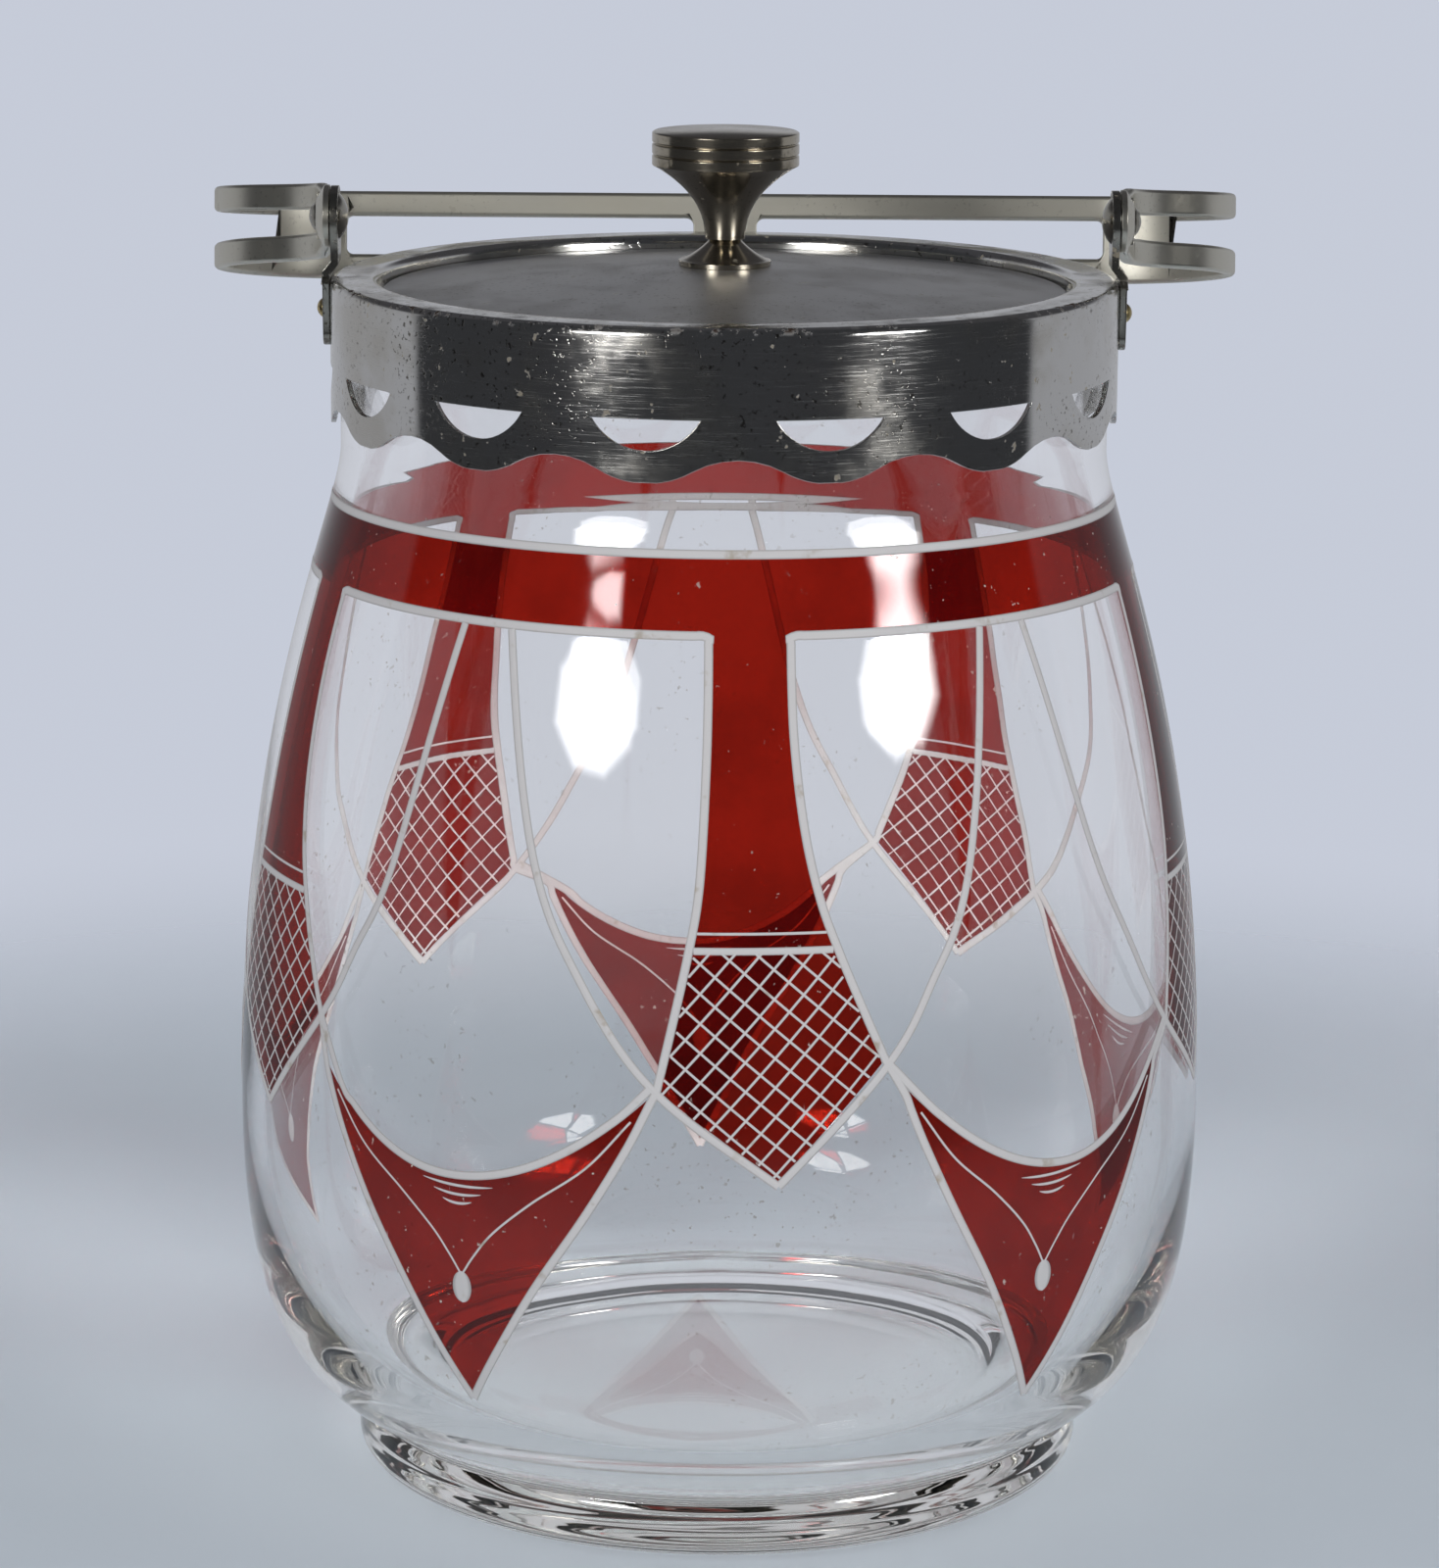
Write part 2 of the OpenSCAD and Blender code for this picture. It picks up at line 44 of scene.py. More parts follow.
# Camera, from the photograph's perspective
CAMERA_AT = Vector((-0.26, -770.0, 275.7)) * MM
CAMERA_PITCH = 12.65
CAMERA_ROLL = 0.4
FOCAL_PIXELS = 5352
IMAGE_HEIGHT = 1600
SENSOR_MM = 36

# Studio: the pale backdrop, and what polished metal sees of the room
BACKDROP = (0.565, 0.60, 0.69, 1)
BACKDROP_THROUGH_GLASS = (0.62, 0.645, 0.715, 1)
ROOM_THROUGH_GLASS = (0.22, 0.228, 0.25, 1)
FILL = (0.36, 0.37, 0.40, 1)
DARK_ROOM = (0.045, 0.047, 0.052, 1)
PALE_SIDES = (0.44, 0.45, 0.48, 1)
CEILING = (0.07, 0.07, 0.078, 1)
FLOOR_PAPER = (0.705, 0.775, 0.83, 1)
FLOOR_RADIUS = 2.0
FLOOR_GAP = 0.00005
FLOOR_FADE = (0.19, 0.42)
# Where the room changes, as parts of a direction: towards the back, upwards, and to the back through glass
ROOM_BEHIND, ROOM_ABOVE, BACKDROP_FROM = (0.13, 0.19), (0.20, 0.40), (-0.15, 0.19)
LAMP_AIM = Vector((0, 0, 130)) * MM
LAMP_DISTANCE = 1.5
# How much a lamp's corners are cut off, and between which shares of its width its light fades
LAMP_CORNER, LAMP_FADE = 0.72, (0.30, 0.49)
# Each lamp: angle from the front and elevation, as seen from the jar's shoulder, size in metres, watts
LAMPS = {
    "softbox_left": (-33, 15.0, (0.60, 0.27), 14.0),
    "softbox_right": (48, 15.0, (0.60, 0.27), 14.0),
    "strip_left": (-34, 20.6, (0.34, 0.04), 0.8),
    "strip_right": (48, 20.6, (0.34, 0.04), 0.8),
}

# Jar, as in the CAD source (mm)
BELLY_R, BELLY_Z = 72.4, 55
NECK_R, NECK_Z, RIM_Z = 56.6, 155, 178.1
WALL = 3.5
FLOOR_Z, FLOOR_R, FLOOR_SWEEP = 12, 40, 22
FOOT_R, FOOT_H, FOOT_EDGE, FOOT_LAND, FOOT_HOLLOW = 55, 9.8, 3.5, 5.5, 3
BELLY_RISE, BELLY_DROP, NECK_SWEEP = 61, 19, 10
HEEL_ANGLE, HEEL_SWEEP, HEEL_FILLET = 20, 16, 1.4
# The pressed foot is rounded towards its top
FOOT_ROUND_FROM, FOOT_ROUND_R = 5.6, 6
RIM_EDGE = WALL / 5
JAR_SEGMENTS = 256
# The blown wall is thicker at one place, which magnifies what is seen through it
THICK_AT, THICK_WIDTH, THICK = math.radians(-33), 17, 0.38
# Unevenness of the inner wall, in long and in fine waves, which grow above the floor and fade towards the
# neck between these heights, and unevenness of the foot, which fades within so many mm of its edges
WAVES, FINE_WAVES, FOOT_WAVES = 0.20, 0.022, 0.05
WAVES_GROW, WAVES_FADE, FOOT_FADE = (28, 70), (NECK_Z - 2, 100), 2

# Ornament: five repeats. Points are (angle from the middle of a tie, height in mm)
REPEATS = 5
PITCH = 360 / REPEATS
TIE_ANGLE = 5.0
BAND_LOW, BAND_HIGH, BAND_DROP = 138.0, 147.6, 1.3
TIE_LEFT = [(-7.4, 138.0), (-6.5, 137.6), (-6.2, 136.6), (-6.2, 124.0), (-6.6, 110.0), (-7.1, 101.7),
            (-8.1, 94.4), (-9.9, 83.8), (-11.5, 74.9)]
TIE_RIGHT = [(4.6, 138.0), (3.6, 137.6), (3.3, 136.6), (3.3, 124.0), (4.3, 111.5), (6.0, 101.7),
             (8.1, 94.3), (11.0, 85.5), (13.4, 78.6)]
TIE_TIP = (1.6, 62.4)
PANEL_LEFT = [(-33.6, 136.8), (-27.2, 105.6), (-21.0, 90.0), (-12.6, 75.6)]
PANEL_RIGHT = [(31.0, 136.8), (25.0, 103.0), (19.6, 89.0), (14.2, 78.4)]
# Cut by hand: how far each tie stands from its even place. For each pendant, how far its tip stands from
# its even place, the tip's height, its left and its right corner, and where its upper edge is lowest
TIE_SHIFT = (0.0, 0.0, -4.5, 0.5, 0.0)
PENDANTS = [
    (-1.0, 26.4, (-18.5, 74.3), (21.0, 71.2), 3.5),
    (-1.5, 27.6, (-20.2, 73.5), (19.4, 73.0), 0.5),
    (-2.0, 27.2, (-19.6, 73.8), (21.4, 72.6), 1.0),
    (0.5, 27.8, (-20.4, 73.2), (21.6, 73.4), 0.0),
    (0.9, 27.6, (-20.7, 71.3), (22.1, 73.9), -1.8),
]
PENDANT_ARC_LOW = 59.6
# Side of a pendant and the strand inside it, as shares of the way from the middle line to a corner
PENDANT_SIDE = [(1.0, 1.0), (0.871, 0.842), (0.656, 0.622), (0.402, 0.392), (0.177, 0.171), (0.0, 0.0)]
STRAND = [(0.919, 0.885), (0.689, 0.63), (0.407, 0.423), (0.191, 0.238), (0.077, 0.1), (0.01, 0.0)]
STRAND_LOW = 46.0
DROP_Z, DROP_H, DROP_W = 43.8, 4.7, 3.1
STROKES = [(4.6, 59.2), (3.1, 57.9), (1.9, 56.6)]
STROKE_SAG = 0.45
BAR_Z, BAR_W = 94.9, 1.05
PINSTRIPE_Z, PINSTRIPE_W = 97.3, 0.4
# Hatching: angle, pitch and offset of each set of lines, and how far and how many to either side it is tried
HATCH, HATCH_W = ((-41.3, 3.07, 0.66), (49.3, 2.73, 1.25)), 0.37
HATCH_REACH, HATCH_COUNT = 30, 8
BORDER_W, STRAND_W, STROKE_W = 1.25, 0.34, 0.42
# The line over the band is thinner behind: its share of the width, and how many degrees from the back it
# begins and ends to widen
THIN_SHARE, THIN_WITHIN = 0.12, (60, 100)
# Lift of each layer over the glass (mm)
STAIN_LIFT, LINE_BED_LIFT, LINE_RIDGE_LIFT = 0.04, 0.015, 0.09
AROUND = np.linspace(0, 360, 361)

# Metal: angles between faces (degrees) from which an edge is sharp and up to which it is flat
SHARP_ANGLE, FLAT_ANGLE = 35, 0.3
WELD_WITHIN = 1e-6
EDGE_SEGMENTS = 3
# Near the bail's pivots edges are rounded by a share only, in full beyond the second distance (m)
PIVOT = Vector((59.5, 0, 188)) * MM
PIVOT_NEAR, PIVOT_SHARE = (0.007, 0.009), 0.2
# How much of an edge's run goes up, from an edge that counts as level to one that counts as upright
UPRIGHT_RUN = (0.6, 0.9)
# The collar has rusted above this height and beyond this distance from the jar's axis, and the bail has been
# rubbed matte behind this distance from it (m)
RUST_FROM_Z, RUST_FROM_R, BAIL_DULL_FROM = 0.1784, 0.0565, 0.03
LIGHT_BOUNCES = 48


# Node trees

def add_node(tree, kind, inputs=None, **settings):
    """Adds a node, with its inputs given by name or number as values or as sockets to link."""
    made = tree.nodes.new(kind)
    for name, value in settings.items():
        setattr(made, name, value)
    for key, value in (inputs or {}).items():
        if isinstance(value, bpy.types.NodeSocket):
            tree.links.new(value, made.inputs[key])
        else:
            made.inputs[key].default_value = value
    return made


def calc(tree, operation, first, second=0.0, clamp=False):
    return add_node(tree, "ShaderNodeMath", {0: first, 1: second},
                    operation=operation, use_clamp=clamp).outputs[0]


def remap(tree, value, low, high, to_low=0.0, to_high=1.0):
    """Smooth step from to_low to to_high while value goes from low to high."""
    return add_node(tree, "ShaderNodeMapRange", {
        "Value": value, "From Min": low, "From Max": high, "To Min": to_low, "To Max": to_high,
    }, interpolation_type="SMOOTHSTEP").outputs["Result"]


def mix_colour(tree, factor, first, second):
    return add_node(tree, "ShaderNodeMix", {0: factor, 6: first, 7: second}, data_type="RGBA").outputs[2]


def mix_shader(tree, factor, first, second):
    return add_node(tree, "ShaderNodeMixShader", {0: factor, 1: first, 2: second}).outputs[0]


def grain(tree, vector, scale, detail=3.0, roughness=0.55):
    return add_node(tree, "ShaderNodeTexNoise", {
        "Vector": vector, "Scale": scale, "Detail": detail, "Roughness": roughness,
    }).outputs["Fac"]


def stretched(tree, vector, scale):
    return add_node(tree, "ShaderNodeVectorMath", {0: vector, 1: scale}, operation="MULTIPLY").outputs[0]


def new_material(name):
    """An empty material: its tree, its output node and the object's coordinates in metres."""
    material = bpy.data.materials.new(name)
    material.use_nodes = True
    tree = material.node_tree
    tree.nodes.clear()
    output = tree.nodes.new("ShaderNodeOutputMaterial")
    place = tree.nodes.new("ShaderNodeTexCoord").outputs["Object"]
    return material, tree, output, place


# Studio

def make_camera():
    data = bpy.data.cameras.new("camera")
    data.sensor_width = SENSOR_MM
    data.lens = FOCAL_PIXELS * SENSOR_MM / IMAGE_HEIGHT
    camera = bpy.data.objects.new("camera", data)
    tilt = Matrix.Rotation(math.radians(90 - CAMERA_PITCH), 4, "X")
    roll = Matrix.Rotation(math.radians(CAMERA_ROLL), 4, "Z")
    camera.matrix_world = Matrix.Translation(CAMERA_AT) @ tilt @ roll
    bpy.context.scene.collection.objects.link(camera)
    bpy.context.scene.camera = camera


def make_world():
    """Pale backdrop for the camera and through glass, a soft fill, and a darker room for reflections."""
    world = bpy.data.worlds.new("studio")
    bpy.context.scene.world = world
    world.use_nodes = True
    tree = world.node_tree
    tree.nodes.clear()
    direction = tree.nodes.new("ShaderNodeTexCoord").outputs["Generated"]
    _, y, z = add_node(tree, "ShaderNodeSeparateXYZ", {0: direction}).outputs
    path = tree.nodes.new("ShaderNodeLightPath").outputs
    sides = mix_colour(tree, remap(tree, z, *ROOM_ABOVE), PALE_SIDES, CEILING)
    room = mix_colour(tree, remap(tree, y, *ROOM_BEHIND), DARK_ROOM, sides)
    colour = mix_colour(tree, path["Is Glossy Ray"], FILL, room)
    through = mix_colour(tree, remap(tree, y, *BACKDROP_FROM), ROOM_THROUGH_GLASS, BACKDROP_THROUGH_GLASS)
    colour = mix_colour(tree, path["Is Transmission Ray"], colour, through)
    colour = mix_colour(tree, path["Is Camera Ray"], colour, BACKDROP)
    background = add_node(tree, "ShaderNodeBackground", {"Color": colour, "Strength": 1.0})
    output = tree.nodes.new("ShaderNodeOutputWorld")
    tree.links.new(background.outputs[0], output.inputs["Surface"])


def soften_lamp(data):
    """Gives a lamp the outline of an octagonal softbox that is brightest in the middle."""
    data.use_nodes = True
    tree = data.node_tree
    tree.nodes.clear()
    place = tree.nodes.new("ShaderNodeNewGeometry").outputs["Parametric"]
    u, v, _ = add_node(tree, "ShaderNodeSeparateXYZ", {0: place}).outputs
    u, v = (calc(tree, "ABSOLUTE", calc(tree, "SUBTRACT", side, 0.5)) for side in (u, v))
    corner = calc(tree, "MULTIPLY", calc(tree, "ADD", u, v), LAMP_CORNER)
    away = calc(tree, "MAXIMUM", corner, calc(tree, "MAXIMUM", u, v))
    glow = add_node(tree, "ShaderNodeEmission", {"Strength": remap(tree, away, *LAMP_FADE, 1.0, 0.0)})
    output = tree.nodes.new("ShaderNodeOutputLight")
    tree.links.new(glow.outputs[0], output.inputs["Surface"])


def make_lamps():
    for name, (angle, elevation, size, watts) in LAMPS.items():
        data = bpy.data.lights.new(name, "AREA")
        data.shape = "RECTANGLE"
        data.size, data.size_y = size
        data.energy = watts
        soften_lamp(data)
        lamp = bpy.data.objects.new(name, data)
        turn = Euler((math.radians(90 - elevation), 0, math.radians(angle)), "XYZ").to_matrix()
        lamp.location = LAMP_AIM + turn @ Vector((0, 0, LAMP_DISTANCE))
        lamp.rotation_euler = turn.to_euler()
        lamp.visible_camera = False
        bpy.context.scene.collection.objects.link(lamp)


def make_floor():
    """Round sheet of pale paper that fades into the backdrop away from the jar."""
    material, tree, output, place = new_material("floor_paper")
    away = add_node(tree, "ShaderNodeVectorMath", {0: place}, operation="LENGTH").outputs["Value"]
    faded = remap(tree, away, *FLOOR_FADE)
    mottle = remap(tree, grain(tree, place, 7.0), 0.3, 0.7, 0.97, 1.0)
    paper = add_node(tree, "ShaderNodeVectorMath", {0: FLOOR_PAPER[:3], 1: mottle}, operation="MULTIPLY")
    diffuse = add_node(tree, "ShaderNodeBsdfDiffuse", {"Color": paper.outputs[0]}).outputs[0]
    clear = tree.nodes.new("ShaderNodeBsdfTransparent").outputs[0]
    tree.links.new(mix_shader(tree, faded, diffuse, clear), output.inputs["Surface"])

    shape = bmesh.new()
    bmesh.ops.create_circle(shape, cap_ends=True, segments=96, radius=FLOOR_RADIUS)
    mesh = bpy.data.meshes.new("floor")
    shape.to_mesh(mesh)
    shape.free()
    mesh.materials.append(material)
    floor = bpy.data.objects.new("floor", mesh)
    floor.location.z = -FLOOR_GAP
    bpy.context.scene.collection.objects.link(floor)


# Shapes of the glass

def bezier(first, second, third, last, steps=48):
    t = np.linspace(0, 1, steps + 1)[:, None]
    s = 1 - t
    first, second, third, last = (np.array(p, float) for p in (first, second, third, last))
    return s**3 * first + 3 * s * s * t * second + 3 * s * t * t * third + t**3 * last


def arc(centre, radius, start, stop, steps=10):
    angle = np.radians(np.linspace(start, stop, steps + 1))
    return np.array(centre) + radius * np.c_[np.cos(angle), np.sin(angle)]


HEEL_OUT = np.array([math.cos(math.radians(HEEL_ANGLE)), math.sin(math.radians(HEEL_ANGLE))])
HEEL = bezier((FOOT_R, FOOT_H), np.array([FOOT_R, FOOT_H]) + HEEL_SWEEP * HEEL_OUT,
              (BELLY_R, BELLY_Z - BELLY_DROP), (BELLY_R, BELLY_Z))
SHOULDER = bezier((BELLY_R, BELLY_Z), (BELLY_R, BELLY_Z + BELLY_RISE),
                  (NECK_R, NECK_Z - NECK_SWEEP), (NECK_R, NECK_Z))
OUTER = np.vstack([HEEL, SHOULDER[1:], [(NECK_R, RIM_Z)]])
OUTER_SLOPE = np.gradient(OUTER[:, 0], OUTER[:, 1])


def jar_profile():
    """Closed section of the jar as (radius, height) in mm, from the middle underneath to the floor."""
    inner_r, bore_r = BELLY_R - WALL, NECK_R - WALL
    corner = np.array([FOOT_R, FOOT_H])
    on_heel = HEEL[HEEL[:, 0] > FOOT_R + HEEL_FILLET]
    foot_z = np.linspace(FOOT_EDGE, FOOT_H - HEEL_FILLET, 20)[1:]
    over = np.clip(foot_z - FOOT_ROUND_FROM, 0, None)
    foot_r = FOOT_R - FOOT_ROUND_R + np.sqrt(FOOT_ROUND_R**2 - over**2)
    fillet = bezier((foot_r[-1], foot_z[-1]), (foot_r[-1], FOOT_H), corner, on_heel[0], 8)[1:]
    neck = np.c_[np.full(10, NECK_R), np.linspace(NECK_Z, RIM_Z - RIM_EDGE, 11)[1:]]
    bore = np.c_[np.full(10, bore_r), np.linspace(RIM_Z - RIM_EDGE, NECK_Z, 11)[1:]]
    return np.vstack([
        bezier((0, FOOT_HOLLOW), (FLOOR_R / 2, FOOT_HOLLOW), (FLOOR_R, FOOT_HOLLOW),
               (FOOT_R - FOOT_EDGE - FOOT_LAND, 0), 16),
        arc((FOOT_R - FOOT_EDGE, FOOT_EDGE), FOOT_EDGE, -90, 0, 20),
        np.c_[foot_r, foot_z], fillet, on_heel[1:], SHOULDER[1:], neck,
        arc((NECK_R - RIM_EDGE, RIM_Z - RIM_EDGE), RIM_EDGE, 0, 90)[1:],
        arc((bore_r + RIM_EDGE, RIM_Z - RIM_EDGE), RIM_EDGE, 90, 180),
        bore,
        bezier((bore_r, NECK_Z), (bore_r, NECK_Z - NECK_SWEEP), (inner_r, BELLY_Z + BELLY_RISE),
               (inner_r, BELLY_Z))[1:],
        bezier((inner_r, BELLY_Z), (inner_r, FLOOR_Z + BELLY_DROP), (FLOOR_R + FLOOR_SWEEP, FLOOR_Z),
               (FLOOR_R, FLOOR_Z))[1:],
        [(r, FLOOR_Z) for r in np.linspace(FLOOR_R, 0, 9)[1:]],
    ])


def link_mesh(name, vertices, faces, material, smooth=True, middle=None):
    """Makes a piece on the jar from points in metres. middle gives each point's value of that attribute."""
    mesh = bpy.data.meshes.new(name)
    mesh.from_pydata([tuple(v) for v in vertices], [], faces)
    if middle:
        mesh.attributes.new("middle", "FLOAT", "POINT").data.foreach_set("value", middle)
    shape = bmesh.new()
    shape.from_mesh(mesh)
    bmesh.ops.remove_doubles(shape, verts=shape.verts, dist=2e-6)
    bmesh.ops.dissolve_degenerate(shape, edges=shape.edges, dist=2e-6)
    shape.to_mesh(mesh)
    shape.free()
    if smooth:
        mesh.shade_smooth()
    mesh.materials.append(material)
    piece = bpy.data.objects.new(name, mesh)
    bpy.context.scene.collection.objects.link(piece)
    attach(piece, "jar")
    return piece


def smooth_step(value, low, high):
    """Goes smoothly from 0 at low to 1 at high."""
    t = min(max((value - low) / (high - low), 0.0), 1.0)
    return t * t * (3 - 2 * t)


def ripple(r, z, angle):
    """Unevenness of the pressed foot and of the blown inner wall, in mm."""
    inside = z > FLOOR_Z and r < np.interp(z, OUTER[:, 1], OUTER[:, 0]) - WALL / 2
    around = Vector((math.sin(angle), math.cos(angle), 0))
    if inside and r > FLOOR_R and z < NECK_Z:
        strength = smooth_step(z, *WAVES_GROW) * smooth_step(z, *WAVES_FADE)
        thick = math.exp(-(math.degrees(math.remainder(angle - THICK_AT, math.tau)) / THICK_WIDTH) ** 2)
        waves = WAVES * noise.noise(around * 2.2 + Vector((0, 0, z * 0.02)))
        waves += FINE_WAVES * noise.noise(around * 7.0 + Vector((3, 0, z * 0.16)))
        return strength * (waves - THICK * thick)
    if not inside and r > FOOT_R - FOOT_EDGE and z < FOOT_H:
        strength = smooth_step(z, 0, FOOT_FADE) * smooth_step(z, FOOT_H, FOOT_H - FOOT_FADE)
        return FOOT_WAVES * strength * noise.noise(around * 1.5 + Vector((0, 0, z * 1.2)))
    return 0.0


def make_glass(material):
    """The jar's section turned round its axis, with the unevenness of its wall."""
    profile = jar_profile()
    vertices, faces = [], []
    count = len(profile)
    for step in range(JAR_SEGMENTS):
        angle = 2 * math.pi * step / JAR_SEGMENTS
        for r, z in profile:
            out = (r + ripple(r, z, angle)) * MM if r else 0.0
            vertices.append((out * math.sin(angle), -out * math.cos(angle), z * MM))
        after = (step + 1) % JAR_SEGMENTS
        for i in range(count - 1):
            faces.append((step * count + i, after * count + i, after * count + i + 1, step * count + i + 1))
    glass = link_mesh("glass_barrel", vertices, faces, material)
    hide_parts("glass_jar")


# Ornament on the glass

def on_glass(points, lift):
    """Points (angle, height) to metres on the jar's outside, lifted off it by so many mm."""
    points = np.asarray(points, float)
    angle, z = np.radians(points[:, 0]), points[:, 1]
    slope = np.interp(z, OUTER[:, 1], OUTER_SLOPE)
    length = np.sqrt(1 + slope**2)
    r = np.interp(z, OUTER[:, 1], OUTER[:, 0]) + lift / length
    z = z - lift * slope / length
    return np.c_[r * np.sin(angle), -r * np.cos(angle), z] * MM


def mm_per_degree(z):
    return math.radians(1) * np.interp(z, OUTER[:, 1], OUTER[:, 0])


def curve_through(points, spacing=0.7):
    """Smooth line through a few points (angle, height), as points about so many mm apart."""
    points = np.asarray(points, float)
    padded = np.vstack([2 * points[0] - points[1], points, 2 * points[-1] - points[-2]])
    line = [points[0]]
    for before, start, stop, after in zip(padded, padded[1:], padded[2:], padded[3:]):
        reach = np.hypot((stop - start)[0] * mm_per_degree(start[1]), (stop - start)[1])
        steps = max(2, math.ceil(reach / spacing))
        for t in np.linspace(0, 1, steps + 1)[1:]:
            line.append(0.5 * (2 * start + (stop - before) * t
                               + (2 * before - 5 * start + 4 * stop - after) * t * t
                               + (3 * start - before - 3 * stop + after) * t**3))
    return np.array(line)


def beside(line, offset):
    """The line moved sideways over the glass by so many mm, to the left of its direction."""
    scale = np.c_[mm_per_degree(line[:, 1]), np.ones(len(line))]
    along = np.gradient(line, axis=0) * scale
    along /= np.linalg.norm(along, axis=1)[:, None]
    left = np.c_[-along[:, 1], along[:, 0]]
    return line + np.asarray(offset).reshape(-1, 1) * left / scale


class Layer:
    """Collects vertices and faces of one layer of ornament."""

    def __init__(self):
        self.vertices, self.faces, self.middle = [], [], []

    def patch(self, rows, lift):
        """A sheet over rows of points (angle, height), each row with as many points."""
        start, width = len(self.vertices), len(rows[0])
        for row in rows:
            self.vertices.extend(on_glass(row, lift))
        for i in range(len(rows) - 1):
            for j in range(width - 1):
                corner = start + i * width + j
                self.faces.append((corner, corner + 1, corner + width + 1, corner + width))

    def line(self, points, width):
        """An engraved line that goes through the stain: a flat rod, of one width or one at each point."""
        half = np.broadcast_to(width, len(points)) / 2
        start = len(self.vertices)
        sections = [on_glass(beside(points, half), STAIN_LIFT), on_glass(points, LINE_RIDGE_LIFT),
                    on_glass(beside(points, -half), STAIN_LIFT), on_glass(points, LINE_BED_LIFT)]
        for section in zip(*sections):
            self.vertices.extend(section)
            # middle is 1 along the line's middle and 0 at its edges; by it the frosted_cut material paints
            # shade towards the edges.
            self.middle.extend((0.0, 1.0, 0.0, 1.0))
        for i in range(len(points) - 1):
            for j in range(4):
                near, far = start + 4 * i, start + 4 * i + 4
                self.faces.append((near + j, far + j, far + (j + 1) % 4, near + (j + 1) % 4))
        last = start + 4 * (len(points) - 1)
        self.faces.append((start, start + 1, start + 2, start + 3))
        self.faces.append((last + 3, last + 2, last + 1, last))


def turned(points, angle):
    return np.asarray(points, float) + (angle, 0)


TIE_LEFT_EDGE = curve_through(TIE_LEFT)
TIE_RIGHT_EDGE = curve_through(TIE_RIGHT)
TIE_AT = [TIE_ANGLE + i * PITCH + TIE_SHIFT[i % REPEATS] for i in range(REPEATS + 1)]
PENDANT_AT = [TIE_ANGLE + (i + 0.5) * PITCH + PENDANTS[i][0] for i in range(REPEATS)]


def band_top(angle):
    """Height of the band's upper edge, which is a little lower at the back."""
    return BAND_HIGH - BAND_DROP * (1 - np.cos(np.radians(angle))) / 2


def tie_span(z):
    """Angles of a tie's two edges at a height."""
    left = np.vstack([TIE_LEFT_EDGE, [TIE_TIP]])[::-1]
    right = np.vstack([TIE_RIGHT_EDGE, [TIE_TIP]])[::-1]
    return np.interp(z, left[:, 1], left[:, 0]), np.interp(z, right[:, 1], right[:, 0])


def pendant_line(shares, corner, low):
    """Line from a pendant's corner to its middle line at a height, by shares of the corner's place."""
    return curve_through(np.asarray(shares) * (corner[0], corner[1] - low) + (0, low))


def pendant_arc(angle, left, right, lowest):
    """Heights of the upper edge of a pendant, which sags between its two corners."""
    reach, height = np.where(angle[:, None] < lowest, left, right).T
    return PENDANT_ARC_LOW + (height - PENDANT_ARC_LOW) * ((angle - lowest) / (reach - lowest)) ** 2


def make_stain(material):
    """The ruby stain: a band, five ties that hang from it and five pendants between them."""
    layer = Layer()
    band_h = band_top(AROUND) - BAND_LOW
    layer.patch([np.c_[AROUND, BAND_LOW + share * band_h] for share in np.linspace(0, 1, 9)], STAIN_LIFT)
    heights = np.linspace(TIE_TIP[1], BAND_LOW, 90)
    tie = [np.c_[np.linspace(*tie_span(z), 13), np.full(13, z)] for z in heights]
    for i, (_, tip_z, left, right, lowest) in enumerate(PENDANTS):
        layer.patch([turned(row, TIE_AT[i]) for row in tie], STAIN_LIFT)
        sides = [pendant_line(PENDANT_SIDE, corner, tip_z) for corner in (left, right)]
        outline = np.vstack([sides[0], sides[1][-2::-1]])
        spread = np.r_[np.linspace(left[0], 0, 33), np.linspace(0, right[0], 33)[1:]]
        bottom = np.interp(spread, outline[:, 0], outline[:, 1])
        depth = pendant_arc(spread, left, right, lowest) - bottom
        layer.patch([turned(np.c_[spread, bottom + share * depth], PENDANT_AT[i])
                     for share in np.linspace(0, 1, 33)], STAIN_LIFT)
    link_mesh("ruby_stain", layer.vertices, layer.faces, material)


def hatch_lines():
    """Crossed lines that fill the lower part of a tie, as points (angle, height)."""
    per_degree = mm_per_degree(BAR_Z)
    middle = np.array(TIE_TIP) + (0, (BAR_Z - TIE_TIP[1]) / 2)
    run = np.linspace(-HATCH_REACH, HATCH_REACH, 241)
    lines = []
    for degrees, pitch, offset in HATCH:
        slant = math.radians(degrees)
        for i in range(-HATCH_COUNT, HATCH_COUNT + 1):
            across = i * pitch + offset
            points = np.c_[middle[0] + (run * math.cos(slant) - across * math.sin(slant)) / per_degree,
                           middle[1] + run * math.sin(slant) + across * math.cos(slant)]
            left, right = tie_span(points[:, 1])
            inside = (points[:, 0] > left) & (points[:, 0] < right)
            inside &= (points[:, 1] < BAR_Z) & (points[:, 1] > TIE_TIP[1])
            if np.count_nonzero(inside) > 4:
                lines.append(points[inside])
    return lines


